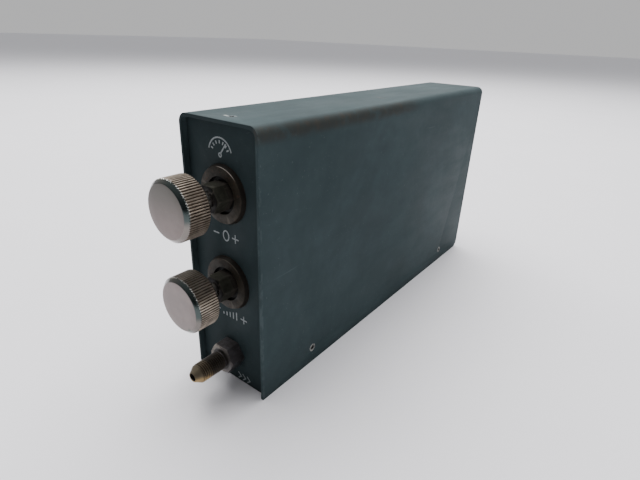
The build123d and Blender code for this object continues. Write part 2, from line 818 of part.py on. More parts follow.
# ---- build --------------------------------------------------------------------------
save(cover(), "cover")
save(tray(), "chassis_tray")
save(panel(PANEL_FACE, [(ZERO_Z, NECK_R + 0.2), (HEAD_Z, NECK_R + 0.2),
                        (PORT_Z, THREAD_R + 0.2)]), "front_panel")
save(panel(REAR_INNER, [(ZERO_Z, NECK_R + 0.2), (CONNECTOR_Z, 6.9),
                        (PORT_Z, THREAD_R + 0.2)]), "rear_panel")
save(top_bracket(), "panel_top_bracket")
save(cover_screws(), "cover_screws")
save(floor_screws(), "floor_screws")
save(clinch_nuts(), "clinch_nuts")

build_valve("zero", ZERO_Z, ZERO_TURNS_OPEN, (-1,))
build_valve("head", HEAD_Z, HEAD_TURNS_OPEN, (-1, 1))

save(bulkhead_fitting(PANEL_FACE, -1, PORT_Z), "gauge_port_fitting")
save(bulkhead_fitting(REAR_FACE, 1, PORT_Z), "supply_port_fitting")
save(group([lock_nut(PANEL_BACK, -1, PORT_Z), lock_nut(REAR_INNER, 1, PORT_Z)]),
     "port_lock_nuts")
save(muffler(), "exhaust_muffler")
save(hex_nut(12.7, (REAR_INNER, REAR_INNER - 4), NECK_R, 0, ZERO_Z, 6.35), "muffler_lock_nut")
save(connector_shell(), "connector_shell")
save(connector_insert(), "connector_insert")
save(connector_pins(), "connector_pins")
save(connector_boot(), "connector_boot")
save(hex_nut(20.0, (REAR_INNER, REAR_INNER - 4), 7.9, 0, CONNECTOR_Z, 10.0), "connector_nut")

save(manifold(), "manifold_block")
save(restrictor(), "supply_restrictor")
save(filter_disc(), "supply_filter")
save(sensor(), "pressure_sensor")
save(sensor_plug(), "sensor_plug")
save(tube([(0, PORT_Y, HEAD_Z + BODY_SIDE / 2 - 5), (0, PORT_Y, ZERO_Z - BODY_SIDE / 2 + 5)]),
     "valve_link_tube")
save(tube([(0, MANIFOLD_FRONT + 7, FEED_Z), (0, PORT_Y, FEED_Z),
           (0, PORT_Y, HEAD_Z - BODY_SIDE / 2 + 5)]), "feed_tube")
save(tube([(0, BODY_REAR - 4.8, HEAD_Z), (0, RETURN_Y, HEAD_Z),
           (0, RETURN_Y, MANIFOLD_TOP - 7)], 7.0), "return_tube")
save(tube([(0, PANEL_FACE + TAIL - 5.5, PORT_Z), (0, MANIFOLD_FRONT + 7, PORT_Z)]),
     "gauge_tube")
save(tube([(0, MANIFOLD_REAR - 6.5, PORT_Z), (0, REAR_FACE - TAIL + 5.5, PORT_Z)]),
     "supply_tube")
save(tube([(0, BODY_REAR - 4.8, ZERO_Z), (0, REAR_INNER - 4.2, ZERO_Z)]), "exhaust_tube")

save(board_bracket(), "board_bracket")
save(standoffs(), "board_standoffs")
save(circuit_board(), "circuit_board")
save(board_screws(), "board_screws")
save(board_capacitors(), "board_capacitors")
save(board_chips(), "board_chips")
save(board_trimmers(), "board_trimmers")
save(group([header(*SENSOR_HEADER), header(*OUTPUT_HEADER)]), "board_headers")
save(cable([(0, SENSOR_Y, MANIFOLD_TOP + 37), (0, SENSOR_Y, SENSOR_HEADER[1]),
            (HEADER_X, SENSOR_Y + 17, SENSOR_HEADER[1]),
            (HEADER_X, SENSOR_HEADER[0] - 5, SENSOR_HEADER[1])], 1.6, 4.9), "sensor_cable")
save(cable([(HEADER_X, OUTPUT_HEADER[0] + 5, CONNECTOR_Z),
            (HEADER_X, OUTPUT_HEADER[0] + 16, CONNECTOR_Z),
            (0, OUTPUT_HEADER[0] + 27, CONNECTOR_Z), (0, REAR_FACE - 19, CONNECTOR_Z)],
           1.6, 10.0), "output_cable")
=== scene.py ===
import json
from math import cos, hypot, pi, radians, sin, sqrt

import bmesh
import bpy
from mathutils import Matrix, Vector


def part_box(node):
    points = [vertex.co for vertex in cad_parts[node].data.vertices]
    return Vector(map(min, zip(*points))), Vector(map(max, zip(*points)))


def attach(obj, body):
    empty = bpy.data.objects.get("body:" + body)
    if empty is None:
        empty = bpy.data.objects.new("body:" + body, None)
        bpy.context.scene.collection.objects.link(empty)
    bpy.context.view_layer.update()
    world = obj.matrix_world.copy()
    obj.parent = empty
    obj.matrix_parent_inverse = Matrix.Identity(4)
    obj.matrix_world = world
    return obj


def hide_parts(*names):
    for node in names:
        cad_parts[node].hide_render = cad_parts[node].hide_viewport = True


# A narrow air gauging module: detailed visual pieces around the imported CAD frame.
# Metres, +Z up, front towards -Y, origin at the centre of the case's underside.
# Every material's coordinates are the object's own, which are the frame's at rest.

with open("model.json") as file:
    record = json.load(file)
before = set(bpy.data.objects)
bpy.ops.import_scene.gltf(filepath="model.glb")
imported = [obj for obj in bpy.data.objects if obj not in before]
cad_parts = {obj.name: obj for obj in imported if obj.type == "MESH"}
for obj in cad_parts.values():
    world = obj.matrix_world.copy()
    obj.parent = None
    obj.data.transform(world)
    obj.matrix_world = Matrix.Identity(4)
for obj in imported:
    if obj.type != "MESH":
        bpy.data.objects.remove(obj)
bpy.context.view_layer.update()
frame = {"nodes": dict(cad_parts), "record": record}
MM = 0.001

# ---- camera, light and stage --------------------------------------------------------
CAMERA_PLACE = (0.1433, -0.2395, 0.1644)
CAMERA_ANGLES = (65.36, -2.09, 37.68)      # degrees, XYZ order
CAMERA_LENS = 25.2
LAMP_PLACE = (-0.45, 0.45, 1.5)
LAMP_SIZE = (2.2, 2.0)
LAMP_WATTS = 90
SKY = (0.93, 0.94, 0.96)
SKY_BRIGHT_WAY = (-0.35, 0.62, 0.7)
BACKDROP = (0.56, 0.56, 0.565)
FLOOR_HALF = 9.0

# ---- places from the frame ----------------------------------------------------------
COVER_LOW, COVER_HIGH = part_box("cover")
FRONT = COVER_LOW.y
HALF_WIDTH = COVER_HIGH.x
TOP = COVER_HIGH.z
PANEL_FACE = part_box("front_panel")[0].y
REAR_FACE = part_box("rear_panel")[1].y


def middle(node):
    low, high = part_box(node)
    return (low + high) / 2


AXIS_Z = {"zero": middle("zero_knob").z, "head": middle("head_knob").z}
PORT_Z = middle("gauge_port_fitting").z

# ---- sizes of the detail ------------------------------------------------------------
KNOB_CHAMFER = 1.7 * MM
KNOB_BACK_CHAMFER = 0.6 * MM
KNOB_BORE_DEPTH = 8 * MM
KNURL_TEETH = 70
KNURL_DEPTH = 0.4 * MM
KNURL_VALLEY = 0.36            # half of a valley's share of the pitch
STEPS_PER_TOOTH = 8
RING_BEVEL = 0.75 * MM
RING_BEVEL_LENGTH = 1.9 * MM
RING_RECESS_R = 8.35 * MM
RING_FLOOR = 0.7 * MM
RING_BORE_R = 4.9 * MM
RING_STEPS = 144
BONNET_AF = 12.0 * MM
BONNET_BORE_R = 4.7 * MM
BONNET_FACE_T = 2.45 * MM      # in front of the wider bore
BONNET_STEPS = 180
STEM_R = 3.175 * MM
STEM_GAP = 0.15 * MM
HEX_CORNER_ROUNDING = 0.12 * MM
HEX_CHAMFER_SLOPE = 0.6        # length of the corner chamfer over its depth
THREAD_R = 4.76 * MM
THREAD_PITCH = 1.058 * MM
THREAD_DEPTH = 0.55 * MM
THREAD_FADE = 0.7 * MM         # the thread runs in and out over this length
THREAD_RINGS = 130
PORT_HEX_AF = 14.3 * MM
PORT_HEX_T = 7.8 * MM
PORT_RELIEF = 1.3 * MM         # plain neck between the hexagon and the thread
PORT_RELIEF_R = THREAD_R - 0.7 * MM
PORT_STEPS = 144
NOSE_START = 22.25 * MM
NOSE_END = 25.4 * MM
NOSE_R = 2.4 * MM
NOSE_STEPS = 6
PASSAGE_R = 1.9 * MM
TUBE_R = 2.0 * MM
TUBE_DEPTH = 6 * MM
COVER_ROUNDING = 0.28 * MM
PLATE_ROUNDING = 0.15 * MM
SCREW_Z = 9.4 * MM
SCREW_INSET = 38.3 * MM
TOP_SCREW_INSET = 8.9 * MM
INK = 0.05 * MM
PEN = 0.66                     # stroke width of the printed marks, in millimetres
DIAL = (-1.4, 117.4)           # middle of the dial mark, x and z in millimetres


# ---- shading helper -----------------------------------------------------------------
class Shader:
    """A material being built, with short names for the nodes that it uses most."""

    def __init__(self, name):
        self.material = bpy.data.materials.new(name)
        self.material.use_nodes = True
        self.tree = self.material.node_tree
        self.bsdf = self.tree.nodes["Principled BSDF"]
        self.coord = self.node("ShaderNodeTexCoord").outputs["Object"]

    def node(self, kind, **values):
        made = self.tree.nodes.new(kind)
        for key, value in values.items():
            setattr(made, key, value)
        return made

    def link(self, out, into):
        self.tree.links.new(out, into)

    def put(self, value, socket):
        """Set a socket to a number or colour, or link it to another node's output."""
        if isinstance(value, bpy.types.NodeSocket):
            self.link(value, socket)
        elif socket.type == "RGBA":
            socket.default_value = (*value, 1.0)
        else:
            socket.default_value = value

    def noise(self, scale, detail=3.0, rough=0.55, stretch=(1, 1, 1), distortion=0.0):
        """Noise with scale in features per metre; stretch multiplies it on each axis."""
        mapping = self.node("ShaderNodeMapping")
        mapping.inputs["Scale"].default_value = stretch
        self.link(self.coord, mapping.inputs["Vector"])
        made = self.node("ShaderNodeTexNoise")
        made.inputs["Scale"].default_value = scale
        made.inputs["Detail"].default_value = detail
        made.inputs["Roughness"].default_value = rough
        made.inputs["Distortion"].default_value = distortion
        self.link(mapping.outputs["Vector"], made.inputs["Vector"])
        return made.outputs["Fac"]

    def ramp(self, factor, low, high, to_low=0.0, to_high=1.0):
        made = self.node("ShaderNodeMapRange", interpolation_type="SMOOTHSTEP")
        for key, value in (("From Min", low), ("From Max", high), ("To Min", to_low),
                           ("To Max", to_high)):
            made.inputs[key].default_value = value
        self.link(factor, made.inputs["Value"])
        return made.outputs["Result"]

    def math(self, kind, a, b=0.0):
        made = self.node("ShaderNodeMath", operation=kind)
        self.put(a, made.inputs[0])
        self.put(b, made.inputs[1])
        return made.outputs[0]

    def mix(self, factor, a, b):
        made = self.node("ShaderNodeMix", data_type="RGBA")
        self.put(factor, made.inputs[0])
        self.put(a, made.inputs[6])
        self.put(b, made.inputs[7])
        return made.outputs[2]

    def axis(self, letter):
        made = self.node("ShaderNodeSeparateXYZ")
        self.link(self.coord, made.inputs[0])
        return made.outputs[letter]

    def near(self, letter, place, full, none):
        """One close to a coordinate value, falling to nothing away from it."""
        away = self.math("ABSOLUTE", self.math("SUBTRACT", self.axis(letter), place))
        return self.ramp(away, full, none, 1.0, 0.0)

    def off(self, first, second):
        """Distance from a line, from the coordinates (letter, value) that it keeps."""
        away = [self.math("SUBTRACT", self.axis(letter), value) if letter in "XYZ"
                else self.math("SUBTRACT", self.math("ABSOLUTE", self.axis(letter[1])), value)
                for letter, value in (first, second)]
        squares = self.math("ADD", *[self.math("MULTIPLY", one, one) for one in away])
        return self.math("SQRT", squares)

    def radius(self, z):
        """Distance from a front-to-back axis in the middle of the front."""
        return self.off(("X", 0.0), ("Z", z))

    def times(self, *factors):
        product = factors[0]
        for factor in factors[1:]:
            product = self.math("MULTIPLY", product, factor)
        return product

    def bump(self, height, strength, distance, below=None):
        made = self.node("ShaderNodeBump")
        made.inputs["Strength"].default_value = strength
        made.inputs["Distance"].default_value = distance
        self.link(height, made.inputs["Height"])
        if below is not None:
            self.link(below, made.inputs["Normal"])
        return made.outputs["Normal"]

    def edges(self, low=0.52, high=0.6):
        """Bright on outside edges, from the surface's pointiness."""
        geometry = self.node("ShaderNodeNewGeometry")
        return self.ramp(geometry.outputs["Pointiness"], low, high)

    def finish(self, color, rough, metallic=0.0, normal=None, specular=0.5):
        self.put(color, self.bsdf.inputs["Base Color"])
        self.put(rough, self.bsdf.inputs["Roughness"])
        self.bsdf.inputs["Metallic"].default_value = metallic
        self.bsdf.inputs["Specular IOR Level"].default_value = specular
        if normal is not None:
            self.link(normal, self.bsdf.inputs["Normal"])
        return self.material


def shade(color, factor):
    return [channel * factor for channel in color]


# ---- materials ----------------------------------------------------------------------
PAINT = (0.039, 0.057, 0.061)
PAINT_WORN = (0.12, 0.15, 0.155)
# painted shade: the panels' paint is this much darker than the cover's
PANEL_SHADE_TONE = 0.66
GRIME = (0.034, 0.034, 0.03)
BROWN = (0.044, 0.036, 0.028)
SCUFF = (0.13, 0.1, 0.09)
SCUFF_X, SCUFF_Y = 8 * MM, -4.3 * MM
SMEAR = (0.42, 0.43, 0.41)
SMEAR_X, SMEAR_Y = -3.2 * MM, FRONT + 8.7 * MM
HANDLED_Y = FRONT + 60 * MM    # middle of the grimy stretch of the near upper bend


def paint(name, tone=1.0, worn_and_shaded=False):
    """Satin slate paint: orange peel, cloudy fading, fine scratches and specks. The worn and
    shaded cover adds grime on its near bend, a scuff and a smear on top, chipped front rims,
    and painted shade darkening the front edge of the sheet away from the right side."""
    s = Shader(name)
    base = shade(PAINT, tone)
    color = s.mix(s.ramp(s.noise(22, 5, 0.6), 0.3, 0.7), shade(base, 0.87), shade(base, 1.13))
    color = s.mix(s.ramp(s.noise(170, 3, 0.6), 0.3, 0.7, 0.0, 0.3), color, shade(base, 0.8))
    specks = s.ramp(s.noise(900, 2, 0.5), 0.68, 0.76)
    color = s.mix(s.times(specks, 0.3 * tone), color, PAINT_WORN)
    scratch = s.ramp(s.noise(260, 3, 0.5, (1, 0.05, 1.6), 0.6), 0.7, 0.77)
    color = s.mix(s.times(scratch, 0.22 * tone), color, PAINT_WORN)
    if worn_and_shaded:
        on_top = s.near("Z", TOP, 0.5 * MM, MM)
        bend = s.times(s.near("Z", TOP - 3.4 * MM, 1.0 * MM, 5.2 * MM),
                       s.near("X", HALF_WIDTH, 1.4 * MM, 4.0 * MM))
        reach = s.near("Y", HANDLED_Y, 50 * MM, 86 * MM)
        cloud = s.noise(90, 4, 0.6)
        dirt = s.mix(s.ramp(s.noise(210, 4, 0.6), 0.5, 0.66), GRIME, BROWN)
        color = s.mix(s.times(bend, reach, s.ramp(cloud, 0.25, 0.55), 0.75), color, dirt)
        scuff = s.times(s.near("X", SCUFF_X, MM, 4.5 * MM),
                        s.near("Y", SCUFF_Y, 0.3 * MM, 1.3 * MM),
                        on_top, s.ramp(s.noise(900, 3, 0.6), 0.4, 0.6))
        color = s.mix(s.times(scuff, 0.6), color, SCUFF)
        smear = s.times(s.near("X", SMEAR_X, 0.5 * MM, 1.8 * MM),
                        s.near("Y", SMEAR_Y, 0.2 * MM, 1.0 * MM), on_top)
        color = s.mix(s.times(smear, 0.8), color, SMEAR)
        rim = s.times(s.near("Y", FRONT, 0.6 * MM, 1.6 * MM),
                      s.near("X", HALF_WIDTH, 0.6 * MM, 1.4 * MM))
        chips = s.ramp(s.noise(420, 4, 0.6, (1, 1, 0.5)), 0.42, 0.62)
        color = s.mix(s.times(rim, chips, 0.25), color, PAINT_WORN)
        # painted shade: the sheet's front edge darkened, except near the right side
        edge = s.times(s.near("Y", FRONT, 0.1 * MM, 0.5 * MM),
                       s.ramp(s.axis("X"), HALF_WIDTH - 3 * MM, HALF_WIDTH - 1.5 * MM, 1.0, 0.0))
        color = s.mix(s.times(edge, 0.6), color, shade(PAINT, 0.3))
    rough = s.ramp(s.noise(60, 4, 0.6, (1, 0.25, 1)), 0.3, 0.7, 0.56, 0.7)
    peel = s.bump(s.noise(1400, 2, 0.5), 0.12, 0.0002)
    waves = s.bump(s.noise(35, 2, 0.4), 0.2, 0.0006, peel)
    return s.finish(color, rough, 0.0, waves, 0.05)


def metal(name, clean, dirty, rough, dirt=(0.42, 0.62), grain=500, stretch=(1, 1, 1)):
    """Worked metal: blotchy tarnish, fine tool grain and brighter outside edges."""
    s = Shader(name)
    blotch = s.noise(210, 5, 0.62)
    color = s.mix(s.ramp(blotch, *dirt), clean, dirty)
    color = s.mix(s.times(s.edges(), 0.5), color, clean)
    normal = s.bump(s.noise(grain, 3, 0.6, stretch), 0.25, 0.00008)
    return s.finish(color, s.ramp(blotch, 0.35, 0.65, *rough), 1.0, normal)


def plastic(name, color, rough):
    """Moulded plastic: faint mottling and a fine moulded grain."""
    s = Shader(name)
    tone = s.noise(300, 3, 0.6)
    mixed = s.mix(tone, shade(color, 0.85), shade(color, 1.15))
    normal = s.bump(s.noise(1500, 2, 0.5), 0.18, 0.00006)
    return s.finish(mixed, s.ramp(tone, 0.3, 0.7, rough - 0.05, rough + 0.08), 0.0, normal)


KNOB_FACE = {"zero": (0.172, 0.144, 0.135), "head": (0.188, 0.16, 0.151)}
KNURL_TIP = {"zero": (0.14, 0.118, 0.096), "head": (0.33, 0.285, 0.235)}
FACE_STAIN = (0.16, 0.12, 0.1)
FACE_FILM = (0.072, 0.073, 0.064)
VERDIGRIS = (0.075, 0.12, 0.095)
# painted reflection on the knob chamfer: lighter on the left and below, darker blue-green above
# and to the right
CHAMFER_REFLECTION_LEFT, CHAMFER_REFLECTION_RIGHT = (0.115, 0.112, 0.1), (0.064, 0.08, 0.077)
CHAMFER_REFLECTION_LOW = (0.19, 0.172, 0.157)
# painted highlight along the chamfer's back edge, above the axis
CHAMFER_GLINT = (0.5, 0.49, 0.46)
CAKED_DARK, CAKED_BROWN = (0.022, 0.015, 0.01), (0.065, 0.045, 0.03)
# colour the head knob's knurl tips darken to towards the top
TIP_DARK_ABOVE = (0.045, 0.041, 0.036)


def knob_metal(valve):
    """Turned face with faint rings, a polished chamfer with a painted reflection that is darker
    above and lighter below, a painted glint where the chamfer meets the knurl, and worn knurl
    tips with brown grime caked between the teeth."""
    s = Shader(valve + "_knob_metal")
    low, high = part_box(valve + "_knob")
    z, front, tip = AXIS_Z[valve], low.y, high.x
    rim = tip - KNOB_CHAMFER
    radius, up = s.radius(z), s.axis("Z")
    clean = KNOB_FACE[valve]
    cloud = s.noise(95, 5, 0.62)
    bare = s.mix(s.ramp(cloud, 0.32, 0.68), shade(clean, 0.86), shade(clean, 1.12))
    stains = s.ramp(s.noise(420, 4, 0.7), 0.56, 0.7)
    bare = s.mix(s.times(stains, 0.3), bare, FACE_STAIN)
    if valve == "zero":
        bare = s.mix(s.ramp(up, z - 8 * MM, z + 9 * MM, 0.0, 0.75), bare, FACE_FILM)
    behind = s.ramp(s.axis("Y"), front + 0.9 * KNOB_CHAMFER, front + 1.15 * KNOB_CHAMFER)
    cut = s.times(s.ramp(radius, rim - 0.35 * MM, rim + 0.1 * MM),
                  s.math("SUBTRACT", 1.0, behind))
    # painted reflection: the chamfer's colour set by side and height
    teal = s.mix(s.ramp(s.axis("X"), -4 * MM, 5 * MM), CHAMFER_REFLECTION_LEFT, CHAMFER_REFLECTION_RIGHT)
    bare = s.mix(cut, bare, s.mix(s.ramp(up, z - 4 * MM, z), CHAMFER_REFLECTION_LOW, teal))
    if valve == "head":
        spot = s.off(("X", 6.2 * MM), ("Z", z - 9.6 * MM))
        bare = s.mix(s.ramp(spot, 0.5 * MM, 1.7 * MM, 0.7, 0.0), bare, VERDIGRIS)
    # painted highlight: broken bright line where the chamfer meets the knurl, above the axis
    # only
    chamfer_glint = s.times(s.near("Y", front + KNOB_CHAMFER, 0.12 * MM, 0.4 * MM),
                   s.ramp(s.noise(900, 3, 0.6), 0.45, 0.6), s.ramp(up, z, z + 3 * MM))
    caked = s.mix(s.ramp(s.noise(500, 4, 0.6), 0.35, 0.65), CAKED_DARK, CAKED_BROWN)
    worn = KNURL_TIP[valve]
    tips = s.mix(s.ramp(s.noise(260, 4, 0.6), 0.35, 0.65), shade(worn, 0.75), shade(worn, 1.25))
    # darker knurl tips towards the top of the head knob
    if valve == "head":
        tips = s.mix(s.ramp(up, z + 4 * MM, z + 9 * MM, 0.0, 0.8), tips, TIP_DARK_ABOVE)
    groove = s.ramp(radius, tip - 0.9 * KNURL_DEPTH, tip - 0.12 * KNURL_DEPTH, 1.0, 0.0)
    color = s.mix(behind, bare, s.mix(groove, tips, caked))
    color = s.mix(s.times(chamfer_glint, 0.8), color, CHAMFER_GLINT)
    rings = s.node("ShaderNodeTexWave", wave_type="RINGS", rings_direction="SPHERICAL")
    centre = s.node("ShaderNodeMapping")
    centre.inputs["Location"].default_value = (0, -front, -z)
    s.link(s.coord, centre.inputs["Vector"])
    s.link(centre.outputs["Vector"], rings.inputs["Vector"])
    rings.inputs["Scale"].default_value = 900
    rings.inputs["Distortion"].default_value = 0.4
    rings.inputs["Detail"].default_value = 1.0
    fine = s.bump(s.noise(1500, 2, 0.5), 0.1, 0.00005)
    normal = s.bump(rings.outputs["Fac"], 0.06, 0.00003, fine)
    rough = s.math("ADD", s.ramp(cloud, 0.3, 0.7, 0.34, 0.43), s.times(behind, 0.12))
    rough = s.math("SUBTRACT", rough, s.times(cut, 0.17))
    return s.finish(color, rough, 1.0, normal)


GOLD_LIGHT, GOLD_DARK = (0.5, 0.34, 0.15), (0.3, 0.21, 0.1)
# painted shade: the fitting's upper side dull olive instead of golden
BRASS_SHADE_ABOVE = (0.1, 0.082, 0.054)
THREAD_DIRT = (0.035, 0.022, 0.014)
# painted shade: black on the threads towards the hexagon
THREAD_SHADE = (0.022, 0.018, 0.014)
HEX_LIGHT, HEX_DARK = (0.085, 0.078, 0.082), (0.05, 0.045, 0.046)
# dark colour on the inner part of the hexagon's face
HEX_FACE_DARK = (0.024, 0.02, 0.016)
HEX_LIP = (0.24, 0.215, 0.18)
# painted shade: black inside the passage
PASSAGE_SHADE = (0.008, 0.007, 0.006)


def port_brass(name, z, face, out):
    """Grimy brass with painted shade: golden below the axis and dull above it on the nose and
    first threads, painted black shade further back and in the bore, and a dull hexagon with a
    beige lip round its dark inner face."""
    s = Shader(name)
    away = s.math("MULTIPLY", s.math("SUBTRACT", s.axis("Y"), face), out)
    radius, up = s.radius(z), s.axis("Z")
    cloud = s.noise(240, 5, 0.62)
    gold = s.mix(s.ramp(cloud, 0.35, 0.65), GOLD_LIGHT, GOLD_DARK)
    # painted shade: the upper side dulled, the lower side left golden
    above = s.ramp(up, z - 1.6 * MM, z + 1.6 * MM)
    brass = s.mix(above, gold, BRASS_SHADE_ABOVE)
    deep = s.ramp(radius, THREAD_R - 0.8 * THREAD_DEPTH, THREAD_R - 0.2 * THREAD_DEPTH, 1.0, 0.0)
    on_nose = s.ramp(away, NOSE_START - 0.4 * MM, NOSE_START + 0.3 * MM)
    valleys = s.times(deep, s.math("SUBTRACT", 1.0, on_nose), 0.85)
    threads = s.mix(valleys, brass, THREAD_DIRT)
    # painted shade: the threads go black towards the hexagon
    thread_shade = s.ramp(away, NOSE_START - 6.5 * MM, NOSE_START - 3.5 * MM, 0.95, 0.0)
    threads = s.mix(thread_shade, threads, THREAD_SHADE)
    dull = s.mix(s.ramp(cloud, 0.35, 0.65), HEX_LIGHT, HEX_DARK)
    # the hexagon's face darkens near the thread
    face_on = s.times(s.near("Y", face + out * PORT_HEX_T, 0.1 * MM, 0.3 * MM),
                      s.ramp(radius, THREAD_R + 0.5 * MM, THREAD_R + 1.1 * MM, 1.0, 0.0))
    dull = s.mix(s.times(face_on, 0.9), dull, HEX_FACE_DARK)
    ahead = s.ramp(away, PORT_HEX_T + 0.4 * MM, PORT_HEX_T + 1.4 * MM)
    color = s.mix(ahead, dull, threads)
    # painted shade: the passage's inside black
    bore = s.ramp(radius, PASSAGE_R + 0.02 * MM, PASSAGE_R + 0.2 * MM, 1.0, 0.0)
    color = s.mix(bore, color, PASSAGE_SHADE)
    lip = s.times(s.near("Y", face + out * (PORT_HEX_T - 0.2 * MM), 0.2 * MM, 0.5 * MM),
                  s.ramp(radius, THREAD_R + 0.7 * MM, THREAD_R + 1.4 * MM),
                  s.ramp(s.noise(300, 3, 0.6), 0.35, 0.55, 0.4, 1.0),
                  s.ramp(s.axis("X"), -2 * MM, 4.5 * MM, 1.0, 0.3), 0.8)
    color = s.mix(lip, color, HEX_LIP)
    rough = s.math("ADD", s.ramp(cloud, 0.35, 0.65, 0.36, 0.5), s.times(above, 0.12))
    normal = s.bump(s.noise(900, 3, 0.6), 0.3, 0.00008)
    return s.finish(color, rough, 0.6, normal, 0.3)


RIM_GLINT = {"zero": 0.6, "head": 0.1}        # strength of the painted highlight along the ring's upper rim
# colour of the painted highlight on the ring's upper rim
RIM_GLINT_STEEL = (0.55, 0.5, 0.45)
OXIDE_LIGHT, OXIDE_DARK = (0.03, 0.0255, 0.0185), (0.014, 0.0118, 0.0085)
OLIVE_LIGHT, OLIVE_DARK = (0.036, 0.036, 0.028), (0.018, 0.018, 0.014)
RUST = (0.075, 0.036, 0.022)
WORN_EDGE = (0.11, 0.095, 0.08)
# painted shade: black in the ring's recess round the nut's root
RECESS_SHADE = (0.005, 0.0048, 0.0045)
# painted shade: near-black on the nut's front face
NUT_FRONT_SHADE = (0.004, 0.004, 0.004)
# painted shade: dark on the ring's bevel behind its front rim
BEVEL_SHADE = (0.012, 0.01, 0.009)


def ring_steel(valve):
    """Oxide-brown ring and olive nut, with painted shade: black in the recess, on the bevel and
    on the nut front, and a thin painted highlight along the ring's upper rim."""
    s = Shader(valve + "_oxide_and_shade_steel")
    z = AXIS_Z[valve]
    low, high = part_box(valve + "_dress_ring")
    front, outer = low.y, high.x
    rim = outer - RING_BEVEL
    radius = s.radius(z)
    cloud = s.noise(190, 5, 0.65)
    color = s.mix(s.ramp(cloud, 0.36, 0.64), OXIDE_LIGHT, OXIDE_DARK)
    rust = s.ramp(s.noise(520, 4, 0.65), 0.57, 0.68)
    color = s.mix(s.times(rust, 0.5), color, RUST)
    inner = s.ramp(radius, RING_RECESS_R - 0.4 * MM, RING_RECESS_R + 0.9 * MM, 1.0, 0.0)
    olive = s.mix(s.ramp(cloud, 0.36, 0.64), OLIVE_LIGHT, OLIVE_DARK)
    color = s.mix(inner, color, olive)
    # painted shade: the recess and the nut's root black
    recess_shade = s.times(s.ramp(radius, RING_RECESS_R + 0.02 * MM, RING_RECESS_R + 0.2 * MM, 1.0, 0.0),
                   s.ramp(s.axis("Y"), front - 1.2 * MM, front - 0.5 * MM), 0.93)
    color = s.mix(recess_shade, color, RECESS_SHADE)
    nut_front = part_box(valve + "_bonnet_nut")[0].y
    # painted shade: the nut's front face near-black
    nut_front_shade = s.ramp(s.axis("Y"), nut_front + 0.08 * MM, nut_front + 0.25 * MM, 0.93, 0.0)
    color = s.mix(nut_front_shade, color, NUT_FRONT_SHADE)
    color = s.mix(s.times(s.edges(0.51, 0.58), 0.4), color, WORN_EDGE)
    # painted shade: the bevel darkened behind the ring's front rim
    bevel_shade = s.times(s.ramp(radius, rim, rim + 0.1 * MM),
                   s.ramp(s.axis("Y"), front + 0.2 * MM, front + 0.5 * MM), 0.7)
    color = s.mix(bevel_shade, color, BEVEL_SHADE)
    # painted highlight: a thin bright line along the ring's upper rim, strongest towards the top
    towards = s.math("ADD", s.times(s.axis("X"), 0.34),
                     s.times(s.math("SUBTRACT", s.axis("Z"), z), 0.94))
    rim_glint = s.times(s.near("Y", front + 0.08 * MM, 0.06 * MM, 0.16 * MM),
                     s.ramp(radius, rim - 0.2 * MM, rim - 0.08 * MM),
                     s.ramp(towards, 0.84 * rim, 0.99 * rim), RIM_GLINT[valve])
    color = s.mix(rim_glint, color, RIM_GLINT_STEEL)
    normal = s.bump(s.noise(700, 3, 0.6), 0.3, 0.00008)
    return s.finish(color, s.ramp(cloud, 0.35, 0.65, 0.48, 0.62), 0.2, normal, 0.1)


def cover_screw_steel():
    """Cover screws: worn rims with painted shade in their sockets at the sides, painted over on
    top with a dark painted-shade dot in the middle.
    """
    s = Shader("cover_screw_steel")
    across = s.off(("|Y", -FRONT - SCREW_INSET), ("Z", SCREW_Z))
    worn = s.mix(s.ramp(s.noise(700, 4, 0.6), 0.4, 0.6), (0.3, 0.3, 0.28), (0.12, 0.12, 0.11))
    # painted shade: black in the side screws' sockets
    color = s.mix(s.ramp(across, 1.0 * MM, 1.5 * MM), (0.012, 0.011, 0.01), worn)
    middle_top = s.off(("X", 0.0), ("Y", FRONT + TOP_SCREW_INSET))
    # painted shade: a dark dot in the middle of the painted-over top screw
    painted = s.mix(s.ramp(middle_top, 0.9 * MM, 1.4 * MM), (0.02, 0.018, 0.014),
                    shade(PAINT, 1.2))
    color = s.mix(s.ramp(s.axis("Z"), TOP - 14 * MM, TOP - 12 * MM), color, painted)
    normal = s.bump(s.noise(900, 3, 0.6), 0.25, 0.00006)
    return s.finish(color, s.ramp(s.noise(500, 3, 0.6), 0.3, 0.7, 0.42, 0.6), 0.4, normal, 0.3)


def ink():
    """Thin off-white legend ink, worn through in places."""
    s = Shader("legend_ink")
    worn = s.ramp(s.noise(1600, 4, 0.65), 0.3, 0.5)
    color = s.mix(worn, (0.11, 0.125, 0.13), (0.24, 0.265, 0.27))
    return s.finish(color, s.ramp(worn, 0.0, 1.0, 0.7, 0.55), 0.0,
                    s.bump(s.noise(2500, 2, 0.5), 0.2, 0.00003), 0.3)


